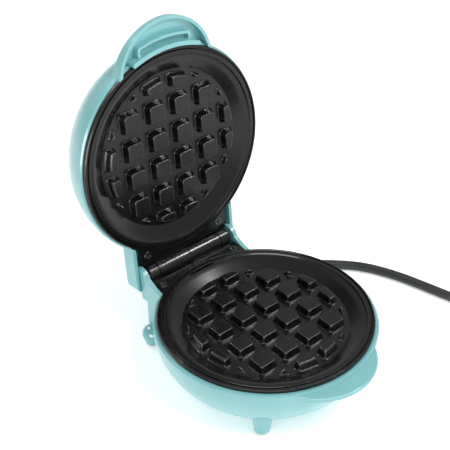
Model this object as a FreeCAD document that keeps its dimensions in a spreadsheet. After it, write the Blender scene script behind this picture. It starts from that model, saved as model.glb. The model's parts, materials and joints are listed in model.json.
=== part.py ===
import FreeCAD, Part
import math
import os
import re
import Sketcher

# A small round waffle maker: a base and a hinged lid, each a moulded shell around a cast plate.
# Millimetres, +Z up. Each piece is drawn in the frame of the parting plane: z = 0 is where the two
# rims meet when it is shut, x = y = 0 is the middle of the plates, and -Y is the handle side.
# The base frame puts the feet on z = 0; the lid frame swings about the hinge pin to its open rest.

doc = FreeCAD.newDocument("waffle_maker")
sheet = doc.addObject("Spreadsheet::Sheet", "Sizes")

sizes = {
    # where the parting plane stands, and the open lid
    "stand_height": (38.0, "parting plane above the table"),
    "middle_y": (-21.0, "middle of the plates, so that the open object is centred"),
    "lid_open": (95.9, "degrees between the plates at rest"),
    "hinge_y": (69.1, "hinge axis behind the middle of the plates"),
    "rim_gap": (0.4, "air between the two shut rims"),
    # cast plates
    "plate_r": (60.0, "outer radius of the plate's flange"),
    "flange": (2.4, "thickness of the flange"),
    "skirt_r": (58.2, "outer radius below the flange"),
    "skirt_wall": (2.6, "thickness of the skirt ring"),
    "floor_r": (46.2, "radius of the flat baking floor"),
    "floor_depth": (5.0, "baking floor below the rim"),
    "floor_wall": (3.2, "thickness under the baking floor"),
    "slope_r": (54.0, "where the sloped wall meets the rim's ledge"),
    "bead_in": (55.6, "inner edge of the rim's bead"),
    "bead_out": (57.5, "outer edge of the rim's bead"),
    "lip_in": (58.9, "inner edge of the outer lip"),
    "groove": (0.9, "depth of the groove between bead and lip"),
    "peg_pitch": (16.9, "square pegs, centre to centre"),
    "peg_top": (9.8, "side of a peg's top"),
    "peg_foot": (12.2, "side of a peg's foot"),
    "peg_height": (4.3, "height of the pegs"),
    "peg_edge": (0.5, "chamfer on the pegs' edges"),
    "peg_field_r": (42.9, "radius that clips the pegs' tops"),
    "ear_half": (31.0, "half width of the plate's rear tongue"),
    "ear_end": (62.9, "rear edge of the tongue"),
    "ear_drop": (0.6, "tongue's face below the rim"),
    "ear_wall": (2.6, "thickness of the tongue"),
    # hinge
    "knuckle_r": (5.7, "outer radius of the knuckles"),
    "knuckle_long": (22.2, "length of a long knuckle"),
    "knuckle_short": (6.0, "length of a short knuckle"),
    "knuckle_gap": (0.6, "air between a long and a short knuckle"),
    "centre_gap": (0.4, "air between the two long knuckles"),
    "pin_r": (2.0, "radius of the hinge pin"),
    "pin_play": (0.05, "radial play of the pin in the lid's knuckles"),
    "pin_fit": (0.02, "radial play of the pin in the base's knuckles"),
    "web": (3.6, "thickness of the webs that carry the knuckles"),
    # moulded shells
    "wall": (2.4, "wall of the shells"),
    "bowl_r": (62.2, "outer radius of the base shell"),
    "bowl_depth": (36.0, "flat underside below the parting plane"),
    "bowl_side": (38.0, "radius of the base shell's side curve"),
    "dome_r": (61.3, "outer radius of the lid shell"),
    "dome_height": (34.0, "flat top above the parting plane"),
    "dome_side": (36.0, "radius of the lid shell's side curve"),
    "blend": (40.0, "degrees where the side curve meets the corner curve"),
    "edge": (0.8, "chamfer on the shells' edges"),
    "seat_fit": (0.4, "play between the plate's skirt and the shell's seat"),
    "seat_depth": (3.4, "height of the seat ring"),
    # handles
    "tab_r": (33.0, "radius of the base tab"),
    "tab_y": (-39.0, "centre of the base tab's curve"),
    "tab_drop": (3.6, "base tab's face below the parting plane"),
    "tab_root": (4.8, "base tab's thickness at its root"),
    "tab_tip": (2.4, "base tab's thickness at its tip"),
    "grip_r": (31.2, "radius of the lid handle"),
    "grip_y": (-46.8, "centre of the lid handle's curve"),
    "grip_root": (8.2, "lid handle's thickness at its root"),
    "grip_tip": (3.6, "lid handle's thickness at its tip"),
    "grip_wall": (1.8, "wall of the hollow lid handle"),
    "ridge_half": (22.5, "half length of the ridge beside the lid's plate"),
    "ridge_wall": (2.4, "thickness of the ridge"),
    "ridge_proud": (1.6, "ridge past the parting plane, in front of the base's rim"),
    "ring_half": (17.6, "half length of the raised ring in the handle"),
    "ring_wall": (1.5, "wall of the raised ring"),
    "ring_slot": (3.4, "width of the recess in the raised ring"),
    "ring_floor": (3.6, "depth of the recess in the raised ring"),
    # hinge housing
    "box_half": (36.6, "half width of the lid's rear box"),
    "box_wall": (2.1, "wall of the rear box"),
    "box_height": (11.4, "height of the rear box"),
    "box_clear": (7.6, "hinge axis to the inside of the box's rear wall"),
    "box_round": (5.0, "radius of the box's outer corners"),
    "cheek_half": (34.0, "outer face of the base's hinge cheeks"),
    "cheek_wall": (2.6, "thickness of the cheeks"),
    "cheek_r": (7.0, "radius of the cheeks' lobes"),
    "cheek_front": (48.2, "front edge of the cheeks"),
    "block_half": (34.0, "half width of the base's rear block"),
    "block_rear": (68.0, "rear face of the block"),
    "block_top": (10.6, "top of the block below the parting plane"),
    "block_foot": (31.0, "underside of the block below the parting plane"),
    "block_round": (7.0, "radius of the block's rear corners"),
    # feet
    "foot_r": (6.0, "radius of a foot at its top"),
    "foot_end_r": (4.4, "radius of a foot at its end"),
    "foot_tip_r": (3.1, "radius of a rubber foot pad"),
    "foot_front_x": (35.4, "front feet, sideways"),
    "foot_front_y": (-37.0, "front feet, forward"),
    "foot_rear_x": (36.6, "rear feet, sideways"),
    "foot_rear_y": (56.2, "rear feet, backward"),
    "pad_proud": (0.9, "foot pad below the foot"),
    "pad_sunk": (1.6, "foot pad inside the foot"),
    # screws
    "screw_r": (1.45, "radius of a screw's shank"),
    "screw_play": (0.05, "shank to its pilot hole"),
    "hole_play": (0.25, "shank to its clearance hole"),
    "small_screw_r": (1.0, "radius of the thermostat screws' shanks"),
    "small_head_r": (1.9, "radius of the thermostat screws' heads"),
    "head_r": (2.7, "radius of a screw's head"),
    "head": (1.6, "height of a screw's head"),
    "head_sunk": (1.2, "head below the tongue's face"),
    "ear_screw_x": (26.2, "tongue screws, sideways"),
    "ear_screw_y": (57.3, "tongue screws, backward"),
    "ear_screw": (6.8, "length of the tongue screws' shanks"),
    "boss_r": (3.75, "radius of the screw bosses"),
    "boss_ring": (26.0, "radius of the ring of bosses under the plate"),
    "boss": (6.4, "height of those bosses"),
    "pilot": (5.0, "depth of their pilot holes"),
    "shield_screw": (5.2, "length of the shield screws' shanks"),
    "housing_screw": (18.0, "length of the housing screws' shanks"),
    "counterbore": (7.0, "depth of the housing screws' counterbores"),
    # heating
    "element_ring": (38.0, "radius of the heating element's ring"),
    "element_r": (3.1, "radius of the element's tube"),
    "element_fit": (0.1, "play between the element and its channel"),
    "element_span": (324.0, "degrees that the element runs round"),
    "channel_wall": (1.3, "wall beside the element's channel"),
    "channel": (2.8, "height of the element's channel"),
    "element_leg": (6.0, "element's straight ends below its ring"),
    "pin_wire_r": (1.1, "radius of the element's cold pins"),
    "pin_wire": (6.5, "length of the cold pins"),
    "shield_wall": (0.8, "sheet thickness of the heat shield"),
    "shield_r": (46.5, "radius of the heat shield"),
    "shield_rim": (3.0, "height of its upturned rim"),
    "shield_hole": (15.5, "radius of its centre hole"),
    # controls
    "thermostat_r": (7.8, "radius of the thermostat"),
    "thermostat": (9.0, "height of the thermostat"),
    "ear_boss_x": (11.6, "thermostat flange screws, sideways"),
    "flange_sheet": (0.8, "sheet of the thermostat's flange"),
    "blade": (6.5, "length of the thermostat's blades"),
    "fuse_r": (1.9, "radius of the thermal fuse"),
    "fuse": (9.5, "length of the thermal fuse"),
    "fuse_y": (-16.5, "thermal fuse, forward"),
    "sleeve": (0.5, "thickness of the fuse's sleeve"),
    # lamp
    "lamp_y": (-22.0, "indicator lens, forward"),
    "lens_r": (3.6, "radius of the indicator lens"),
    "lens_proud": (1.2, "lens above the lid"),
    "lens_flange": (1.4, "width and thickness of the lens's flange inside the lid"),
    "lamp_r": (2.3, "radius of the neon lamp"),
    "lamp": (9.0, "length of the neon lamp"),
    # cord
    "cord_r": (2.9, "radius of the mains cord"),
    "cord_exit": (21.5, "cord's exit below the parting plane"),
    "relief": (22.0, "length of the strain relief outside"),
    "relief_root": (4.6, "radius of the strain relief at the block"),
    "relief_tip": (3.7, "radius of the strain relief at its end"),
    "relief_flange": (6.4, "radius of the strain relief's flanges"),
    "relief_neck": (1.6, "thickness of the strain relief's flanges"),
    "cord_start": (79.0, "where the free cord begins, inside the strain relief"),
    "coil_mid_r": (29.0, "radius at the middle of the coil's turns"),
    "coil_x": (164.3, "middle of the coil, sideways"),
    "coil_y": (-75.2, "middle of the coil, forward"),
    "plug_rear": (-124.0, "cord end of the plug, forward"),
    "plug_long": (35.5, "length of the plug's body"),
    "plug_half": (13.0, "half width of the plug's body"),
    "plug_neck": (6.5, "half width of the plug at the cord"),
    "plug_thick": (13.7, "thickness of the plug's body"),
    "plug_round": (3.0, "radius of the plug's edges"),
    "plug_pin_r": (2.0, "radius of the plug's pins"),
    "plug_pin": (19.0, "length of the plug's pins"),
    "plug_spacing": (18.6, "plug pins, centre to centre"),
    "wire_r": (0.9, "radius of the inner wires"),
    "anchor_half": (11.0, "half width of the cord's anchor block"),
    "anchor_front": (50.0, "front of the anchor block"),
    "anchor_rear": (58.0, "rear of the anchor block"),
    "anchor_mid": (54.0, "line of the clamp's screws"),
    "clamp_screw_x": (7.5, "clamp screws, sideways"),
    "clamp": (2.4, "thickness of the cord clamp"),
    "clamp_gap": (0.8, "clamp's lower face below the cord's axis"),
}
for row, (name, (value, note)) in enumerate(sizes.items(), 1):
    sheet.set(f"A{row}", name)
    sheet.set(f"B{row}", str(value))
    sheet.set(f"C{row}", note)
    sheet.setAlias(f"B{row}", name)
doc.recompute()


def bound(formula):
    """The formula with each size's name pointing at its cell."""
    return re.sub(r"[a-z_]+", lambda word: "Sizes." + word[0] if word[0] in sizes else word[0], str(formula))


def amount(formula):
    return float(sheet.evalExpression(bound(formula)))


# ---- placing -------------------------------------------------------------------------------

X_AXIS = FreeCAD.Vector(1, 0, 0)
Y_AXIS = FreeCAD.Vector(0, 1, 0)


def shift(x, y, z):
    return FreeCAD.Placement(FreeCAD.Vector(x, y, z), FreeCAD.Rotation())


def turn(axis, degrees):
    return FreeCAD.Placement(FreeCAD.Vector(0, 0, 0), FreeCAD.Rotation(axis, degrees))


hinge_y = amount("hinge_y")
base_frame = shift(0, amount("middle_y"), amount("stand_height"))
lid_frame = base_frame * shift(0, hinge_y, 0) * turn(X_AXIS, -amount("lid_open")) * shift(0, -hinge_y, 0)
lid_turned = lid_frame * turn(Y_AXIS, 180)  # a base piece used again, upside down, in the lid

pieces = []


def finish_piece(piece, name, frame):
    if piece.TypeId in ("Part::Cylinder", "Part::Feature"):
        piece = group(piece)
    piece.Label = name
    piece.Placement = frame
    pieces.append(piece)
    return piece


# ---- drawing -------------------------------------------------------------------------------

def new_body(name):
    return doc.addObject("PartDesign::Body", name + "_body")


def new_sketch(body, role="XY_Plane", offset="0"):
    sketch = body.newObject("Sketcher::SketchObject", body.Name + "_sketch")
    plane = [item for item in body.Origin.OriginFeatures if item.Role == role][0]
    sketch.AttachmentSupport = [(plane, "")]
    sketch.MapMode = "FlatFace"
    sketch.setExpression("AttachmentOffset.Base.z", bound(offset))
    return sketch


def bind(sketch, kind, *where, formula):
    index = sketch.addConstraint(Sketcher.Constraint(kind, *where, amount(formula)))
    sketch.setExpression(f"Constraints[{index}]", bound(formula))


def outline(sketch, corners):
    """A closed outline. A corner is (x, y), or (x, y, radius, side) where an arc leads to the next
    corner; side 1 puts the arc's centre to the left of the way there, -1 to the right."""
    spots = [FreeCAD.Vector(amount(corner[0]), amount(corner[1]), 0) for corner in corners]
    count = len(corners)
    starts = []
    first = sketch.GeometryCount
    for index, corner in enumerate(corners):
        here = spots[index]
        there = spots[(index + 1) % count]
        starts.append(1)
        if len(corner) == 2:
            sketch.addGeometry(Part.LineSegment(here, there), False)
            continue
        radius = amount(corner[2])
        chord = there - here
        middle = (here + there) * 0.5
        across = FreeCAD.Vector(-chord.y, chord.x, 0).normalize()
        reach = math.sqrt(radius ** 2 - (chord.Length / 2) ** 2)
        centre = middle + across * (corner[3] * reach)
        ends = [math.atan2(spot.y - centre.y, spot.x - centre.x) for spot in (here, there)[::corner[3]]]
        circle = Part.Circle(centre, FreeCAD.Vector(0, 0, 1), radius)
        sketch.addGeometry(Part.ArcOfCircle(circle, *ends), False)
        starts[-1] = 1 if corner[3] > 0 else 2
    for index in range(count):
        following = (index + 1) % count
        sketch.addConstraint(Sketcher.Constraint(
            "Coincident", first + index, 3 - starts[index], first + following, starts[following]))
    for index, corner in enumerate(corners):
        bind(sketch, "DistanceX", -1, 1, first + index, starts[index], formula=corner[0])
        bind(sketch, "DistanceY", -1, 1, first + index, starts[index], formula=corner[1])
        if len(corner) == 4:
            bind(sketch, "Radius", first + index, formula=corner[2])
    return sketch


def box_outline(sketch, left, right, front, rear):
    return outline(sketch, [(left, front), (right, front), (right, rear), (left, rear)])


def circles(sketch, spots, radius):
    for x, y in spots:
        index = sketch.addGeometry(Part.Circle(
            FreeCAD.Vector(amount(x), amount(y), 0), FreeCAD.Vector(0, 0, 1), amount(radius)), False)
        bind(sketch, "DistanceX", -1, 1, index, 3, formula=x)
        bind(sketch, "DistanceY", -1, 1, index, 3, formula=y)
        bind(sketch, "Radius", index, formula=radius)
    return sketch


def extrude(body, sketch, length, kind="Pad", backwards=False, both=False):
    feature = body.newObject("PartDesign::" + kind, body.Name + "_" + kind.lower())
    feature.Profile = sketch
    feature.setExpression("Length", bound(length))
    feature.Reversed = backwards
    feature.Midplane = both
    return feature


def pad(body, sketch, length, down=False, both=False):
    return extrude(body, sketch, length, "Pad", down, both)


def pocket(body, sketch, length, up=False, both=False):
    return extrude(body, sketch, length, "Pocket", up, both)


def revolve(body, sketch, kind="Revolution"):
    feature = body.newObject("PartDesign::" + kind, body.Name + "_" + kind.lower())
    feature.Profile = sketch
    feature.ReferenceAxis = (sketch, ["V_Axis"])
    feature.Angle = 360
    return feature


def repeat(body, feature, sketch, axis, length, count):
    pattern = body.newObject("PartDesign::LinearPattern", body.Name + "_row")
    pattern.Originals = [feature]
    pattern.Direction = (sketch, [axis])
    pattern.setExpression("Length", bound(length))
    pattern.Occurrences = count
    body.Tip = pattern
    return pattern


def round_edges(body, feature, radius, wanted):
    """Fillet of the edges whose middle point and direction satisfy wanted(middle, edge)."""
    doc.recompute()
    names = []
    for number, edge in enumerate(feature.Shape.Edges, 1):
        middle = edge.valueAt((edge.FirstParameter + edge.LastParameter) / 2)
        if wanted(middle, edge):
            names.append(f"Edge{number}")
    if not names:
        raise RuntimeError("no edges to round on " + feature.Name)
    fillet = body.newObject("PartDesign::Fillet", body.Name + "_fillet")
    fillet.Base = (feature, names)
    fillet.setExpression("Radius", bound(radius))
    doc.recompute()
    return fillet


def upright(edge):
    ends = [vertex.Point for vertex in edge.Vertexes]
    return len(ends) == 2 and abs(ends[0].z - ends[1].z) > 0.9 * edge.Length


def both_sides(x, y):
    return [(x, y), (f"-({x})", y)]


def ring_spots(radius, degrees):
    return [(f"{radius} * cos({angle} deg)", f"{radius} * sin({angle} deg)") for angle in degrees]


shield_angles = (90, 210, 330)
housing_angles = (30, 150, 270)
floor_top = "-(rim_gap / 2 + floor_depth)"
floor_under = "-(rim_gap / 2 + floor_depth + floor_wall)"
boss_end = floor_under + " - boss"
shield_under = boss_end + " - shield_wall"
element_z = boss_end + " + element_r"
control_face = floor_under + " - 1.6"


# ---- solids --------------------------------------------------------------------------------

def place_at(item, x, y, z):
    for axis, where in zip("xyz", (x, y, z)):
        item.setExpression(f"Placement.Base.{axis}", bound(where))
    return item


def cylinder(radius, low, high, x="0", y="0"):
    """Upright cylinder between two heights."""
    item = doc.addObject("Part::Cylinder", "cylinder")
    item.setExpression("Radius", bound(radius))
    item.setExpression("Height", bound(f"({high}) - ({low})"))
    return place_at(item, x, y, low)


def rod(radius, left, right, y, z, axis=Y_AXIS, x="0"):
    """Lying cylinder: along X for the Y axis turn, or along Y for the X axis turn."""
    item = doc.addObject("Part::Cylinder", "rod")
    item.setExpression("Radius", bound(radius))
    item.setExpression("Height", bound(f"({right}) - ({left})"))
    item.Placement = turn(axis, 90 if axis is Y_AXIS else -90)
    return place_at(item, left, y, z) if axis is Y_AXIS else place_at(item, x, left, z)


def brick(left, right, front, rear, low, high):
    item = doc.addObject("Part::Box", "brick")
    for name, near, far in (("Length", left, right), ("Width", front, rear), ("Height", low, high)):
        item.setExpression(name, bound(f"({far}) - ({near})"))
    return place_at(item, left, front, low)


def fuse(*items):
    if len(items) == 1:
        return items[0]
    joined = doc.addObject("Part::MultiFuse", "fuse")
    joined.Shapes = list(items)
    return joined


def cut(base, *tools):
    rest = doc.addObject("Part::Cut", "cut")
    rest.Base = base
    rest.Tool = fuse(*tools)
    return rest


def common(base, tool):
    shared = doc.addObject("Part::Common", "common")
    shared.Base = base
    shared.Tool = tool
    return shared


def group(*items):
    """Separate solids of one kind in one piece."""
    together = doc.addObject("Part::Compound", "group")
    together.Links = list(items)
    return together


def turned_body(name, corners):
    """A round piece about its own upright axis, from half of its outline."""
    body = new_body(name)
    revolve(body, outline(new_sketch(body, "XZ_Plane"), corners))
    return body


def side_body(name, corners, start, width):
    """A flat piece seen from the side, as wide as given, from x = start."""
    body = new_body(name)
    pad(body, outline(new_sketch(body, "YZ_Plane", start), corners), width)
    return body


# ---- shells --------------------------------------------------------------------------------

def shell_profile(sketch, radius, side, height, inset, sign):
    """Half of a round shell's outline, inset from its outside. sign is -1 for the bowl, 1 for the dome.
    From the flat middle a corner curve and a side curve lead out to an upright band at the edge."""
    band = "(rim_gap / 2 + flange + edge)"
    blend_r = f"({radius} - {side} * (1 - cos(blend * 1 deg)))"
    blend_z = f"({band} + {side} * sin(blend * 1 deg))"
    corner = f"(({height} - {blend_z}) / (1 - sin(blend * 1 deg)))"
    flat_z = f"{sign} * ({height} - {inset})"
    corners = [
        ("0", flat_z),
        (f"{blend_r} - {corner} * cos(blend * 1 deg)", flat_z, f"{corner} - {inset}", -sign),
        (f"{blend_r} - {inset} * cos(blend * 1 deg)",
         f"{sign} * ({blend_z} - {inset} * sin(blend * 1 deg))", f"{side} - {inset}", -sign),
        (f"{radius} - {inset}", f"{sign} * {band}"),
    ]
    if inset == "0":
        top = f"{sign} * (rim_gap / 2 + flange)"
        corners += [(f"{radius} - edge", top), ("0", top)]
    else:
        corners += [(f"{radius} - {inset}", "0"), ("0", "0")]
    return outline(sketch, corners)


def seat_ring(radius, sign):
    """The ledge inside a shell's edge that carries the plate's flange."""
    near = f"{sign} * (rim_gap / 2 + flange)"
    far = f"{sign} * (rim_gap / 2 + flange + seat_depth)"
    inner, outer = "skirt_r + seat_fit", f"{radius} - wall / 2"
    return turned_body("seat", [(inner, near), (outer, near), (outer, far), (inner, far)])


def shell(name, radius, side, height, sign):
    outside = new_body(name + "_outside")
    revolve(outside, shell_profile(new_sketch(outside, "XZ_Plane"), radius, side, height, "0", sign))
    inside = new_body(name + "_inside")
    revolve(inside, shell_profile(new_sketch(inside, "XZ_Plane"), radius, side, height, "wall", sign))
    return outside, inside


def lip(name, radius, middle, face, root, tip, sign):
    """A round lip in front of a shell: flat towards the parting plane, thinner at its tip."""
    body = new_body(name)
    slab = pad(body, circles(new_sketch(body, offset=f"{sign} * {face}"), [("0", middle)], radius), root,
               down=(sign < 0))
    front = f"{middle} - {radius}"
    wedge = outline(new_sketch(body, "YZ_Plane"), [
        (f"{front} - 1", f"{sign} * ({face} + {tip})"), (middle, f"{sign} * ({face} + {root} + 0.5)"),
        (f"{front} - 1", f"{sign} * ({face} + {root} + 0.5)")])
    return body, pocket(body, wedge, f"3 * {radius}", both=True)


def foot(x, y, top):
    """A post with a rounded foot and a domed top, and room for its rubber pad."""
    tip = "pad_proud - stand_height"
    curve = "foot_end_r * 0.25"
    post = turned_body("foot", [
        ("0", tip), (f"foot_end_r - {curve}", tip, curve, 1), ("foot_end_r", f"{tip} + {curve}"),
        ("foot_r", f"{top} - foot_r", "foot_r", 1), ("0", top)])
    return place_at(post, x, y, "0")


foot_places = both_sides("foot_front_x", "foot_front_y") + both_sides("foot_rear_x", "foot_rear_y")
pad_top = "pad_proud + pad_sunk - stand_height"
clamp_spots = both_sides("clamp_screw_x", "anchor_mid")
web_room = "rim_gap / 2 + ear_drop + web + 0.2"
ear_under = "rim_gap / 2 + ear_drop + ear_wall"


def lower_housing():
    outside, inside = shell("bowl", "bowl_r", "bowl_side", "bowl_depth", -1)
    tab, slope = lip("tab", "tab_r", "tab_y", "tab_drop", "tab_root", "tab_tip", -1)
    round_edges(tab, slope, "tab_tip / 3", lambda middle, edge: edge.Length > amount("tab_r"))
    block = new_body("block")
    plain = pad(block, box_outline(
        new_sketch(block, offset="-block_top"), "-block_half", "block_half", "bowl_r / 2", "block_rear"),
        "block_foot - block_top", down=True)
    rear, low = amount("block_rear"), amount("-block_foot")
    rounded = round_edges(block, plain, "block_round",
                          lambda middle, edge: upright(edge) and middle.y > rear - 1)
    round_edges(block, rounded, "wall", lambda middle, edge: abs(middle.z - low) < 0.1 and middle.y > 40)
    # hinge cheeks: a saddle beside the plate's tongue, then a round lobe about the hinge axis
    foot_z = "-(block_top + wall)"
    lobe = "sqrt(cheek_r ^ 2 - (block_rear - hinge_y) ^ 2)"
    cheek = [
        ("cheek_front", foot_z), ("block_rear", foot_z), ("block_rear", f"-{lobe}"),
        ("hinge_y + cheek_r * sin(40 deg)", "-cheek_r * cos(40 deg)", "cheek_r", 1),
        ("hinge_y + cheek_r * cos(40 deg)", "cheek_r * sin(40 deg)", "cheek_r", 1),
        ("hinge_y - cheek_r * cos(20 deg)", "cheek_r * sin(20 deg)"),
        ("hinge_y - cheek_r * 1.75", "-0.4"), ("cheek_front", "-(rim_gap / 2 + flange)"),
    ]
    cheeks = [side_body("cheek", cheek, start, "cheek_wall")
              for start in ("cheek_half - cheek_wall", "-cheek_half")]
    feet = [foot(x, y, "-bowl_depth / 2" if "front" in y else "foot_r - block_foot") for x, y in foot_places]
    solid = fuse(outside, tab, block, *cheeks, *feet)
    hollow = brick("-(block_half - wall)", "block_half - wall", "bowl_r / 2", "block_rear - wall",
                   "-(block_foot - wall)", "-(block_top + wall)")
    plate_room = cylinder("plate_r + seat_fit", "-(rim_gap / 2 + flange)", "cheek_r + wall")
    skin = cut(solid, inside, hollow, plate_room)
    # screw posts below the shield, bosses under the plate's tongue, and the cord's anchor
    ear_top = f"-({ear_under})"
    posts = [cylinder("boss_r", "-(bowl_depth - wall / 2)", shield_under, x, y)
             for x, y in ring_spots("boss_ring", housing_angles)]
    ear_posts = [cylinder("boss_r", "-(block_top + wall / 2)", ear_top, x, y)
                 for x, y in both_sides("ear_screw_x", "ear_screw_y")]
    ear_tips = [cylinder("boss_r * 0.75", f"-({web_room} + 1)", ear_top, x, y)
                for x, y in both_sides("ear_screw_x", "ear_screw_y")]
    tongue_room = brick("-(ear_half + seat_fit)", "ear_half + seat_fit", "plate_r * 0.75", "block_rear + 2",
                        f"-({web_room})", "cheek_r + wall")
    anchor = brick("-anchor_half", "anchor_half", "anchor_front", "anchor_rear",
                   "-(block_foot - wall / 2)", "-(cord_exit + cord_r)")
    whole = fuse(cut(fuse(skin, seat_ring("bowl_r", -1), anchor, *posts, *ear_posts), tongue_room), *ear_tips)
    bores = [cylinder("screw_r + hole_play", "-bowl_depth - 1", shield_under + " + 1", x, y)
             for x, y in ring_spots("boss_ring", housing_angles)]
    wells = [cylinder("head_r + hole_play", "-bowl_depth - 1", "counterbore - bowl_depth", x, y)
             for x, y in ring_spots("boss_ring", housing_angles)]
    pilots = [cylinder("screw_r + screw_play", ear_top + " - ear_screw", ear_top + " + 1", x, y)
              for x, y in both_sides("ear_screw_x", "ear_screw_y")]
    pad_rooms = [cylinder("foot_tip_r + screw_play", "-stand_height - 1", pad_top, x, y)
                 for x, y in foot_places]
    clamp_pilots = [cylinder("screw_r + screw_play", "-(cord_exit + cord_r) - pilot", "-cord_exit", x, y)
                    for x, y in clamp_spots]
    exit_hole = rod("relief_root", "block_rear - wall - 1", "block_rear + 1", "0", "-cord_exit", X_AXIS)
    holes = cut(whole, *bores, *wells, *pilots, *pad_rooms, *clamp_pilots, exit_hole)
    finish_piece(holes, "lower_housing", base_frame)


def upper_housing():
    outside, inside = shell("dome", "dome_r", "dome_side", "dome_height", 1)
    # hollow handle: a lip shelled to an even wall, open towards the plates
    grip, slope = lip("grip", "grip_r", "grip_y", "0", "grip_root", "grip_tip", 1)
    round_edges(grip, slope, "grip_tip / 3", lambda middle, edge: edge.Length > amount("grip_r")
                and middle.z > 0.1)
    hollow, _ = lip("grip_hollow", "grip_r - grip_wall", "grip_y", "0", "grip_root - grip_wall",
                    "grip_tip - grip_wall", 1)
    # rear box round the hinge, rounded at its rear and top
    rear = "hinge_y + box_clear + box_wall"
    box = new_body("box")
    plain = pad(box, box_outline(new_sketch(box), "-box_half", "box_half", "dome_r / 2", rear), "box_height")
    back, high = amount(rear), amount("box_height")
    corners = round_edges(box, plain, "box_round", lambda middle, edge: upright(edge) and middle.y > back - 1)
    round_edges(box, corners, "box_round - wall", lambda middle, edge: abs(middle.z - high) < 0.1
                and middle.y > amount("dome_r / 2") + 1)
    box_room = new_body("box_room")
    room = pad(box_room, box_outline(new_sketch(box_room, offset="-1"), "-(box_half - box_wall)",
                                     "box_half - box_wall", "dome_r / 2", "hinge_y + box_clear"),
               "box_height - box_wall + 1")
    room_rear = amount("hinge_y + box_clear")
    round_edges(box_room, room, "box_round - 2 * box_wall",
                lambda middle, edge: upright(edge) and middle.y > room_rear - 1)
    plate_room = cylinder("plate_r + seat_fit", "-1", "rim_gap / 2 + flange")
    # ridge beside the plate and a raised ring with a recess, both following the plate's edge
    near = "plate_r + seat_fit"
    slot_near = f"{near} + ridge_wall"
    ring_far = f"{slot_near} + ring_slot + ring_wall"
    ridge = curved_bar("ridge", near, slot_near, "ridge_half", "-ridge_proud", "grip_root",
                       "ridge_wall * 0.45")
    ring = curved_bar("ring", near, ring_far, "ring_half", "rim_gap", "grip_root", "ring_wall")
    recess = curved_bar("recess", slot_near, f"{slot_near} + ring_slot", "ring_half - ring_wall", "-1",
                        "ring_floor", "ring_slot * 0.35")
    inner_lip = common(fuse(ridge, ring), lip_outline())
    skin = cut(fuse(outside, box), inside, box_room, plate_room)
    grip_skin = cut(grip, hollow, cylinder("dome_r - wall / 2", "-1", "grip_root + 1"))
    ear_posts = [cylinder("boss_r", ear_under, "box_height - box_wall / 2", x, y)
                 for x, y in both_sides("ear_screw_x", "ear_screw_y")]
    ear_tips = [cylinder("boss_r * 0.75", ear_under, f"{web_room} + 1", x, y)
                for x, y in both_sides("ear_screw_x", "ear_screw_y")]
    tongue_room = brick("-(ear_half + seat_fit)", "ear_half + seat_fit", "plate_r * 0.75", "hinge_y",
                        "-1", web_room)
    lens_seat = cylinder("lens_r + lens_flange + wall / 2", "dome_height - wall - 2 * lens_flange",
                         "dome_height - wall / 2", "0", "lamp_y")
    filled = fuse(skin, grip_skin, inner_lip, seat_ring("dome_r", 1), lens_seat, *ear_posts)
    whole = fuse(cut(filled, tongue_room), *ear_tips)
    pilots = [cylinder("screw_r + screw_play", ear_under + " - 1", "box_height - box_wall", x, y)
              for x, y in both_sides("ear_screw_x", "ear_screw_y")]
    lens_hole = cylinder("lens_r + screw_play", "dome_height - 3 * wall", "dome_height + 1", "0", "lamp_y")
    flange_hole = cylinder("lens_r + lens_flange + screw_play", "dome_height / 2", "dome_height - wall",
                           "0", "lamp_y")
    holes = cut(whole, recess, lens_hole, flange_hole, *pilots)
    finish_piece(holes, "upper_housing", lid_frame)


def curved_bar(name, inner, outer, half, low, high, corner):
    """A bar in front of the plate that follows its edge, between two radii and two heights."""
    body = new_body(name)
    ends = [f"-sqrt(({radius}) ^ 2 - ({half}) ^ 2)" for radius in (inner, outer)]
    bar = pad(body, outline(new_sketch(body, offset=low), [
        (f"-({half})", ends[0]), (f"-({half})", ends[1], outer, 1), (half, ends[1]),
        (half, ends[0], inner, -1)]), f"({high}) - ({low})")
    round_edges(body, bar, corner, lambda middle, edge: upright(edge))
    return body


def lip_outline():
    """What lies inside the lid handle's outer surface, down to the ridge's edge."""
    body, _ = lip("grip_limit", "grip_r - grip_wall / 2", "grip_y", "(0 - ridge_proud)",
                  "(grip_root - grip_wall / 2 + ridge_proud)", "(grip_tip - grip_wall / 2 + ridge_proud)", 1)
    return body


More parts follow.
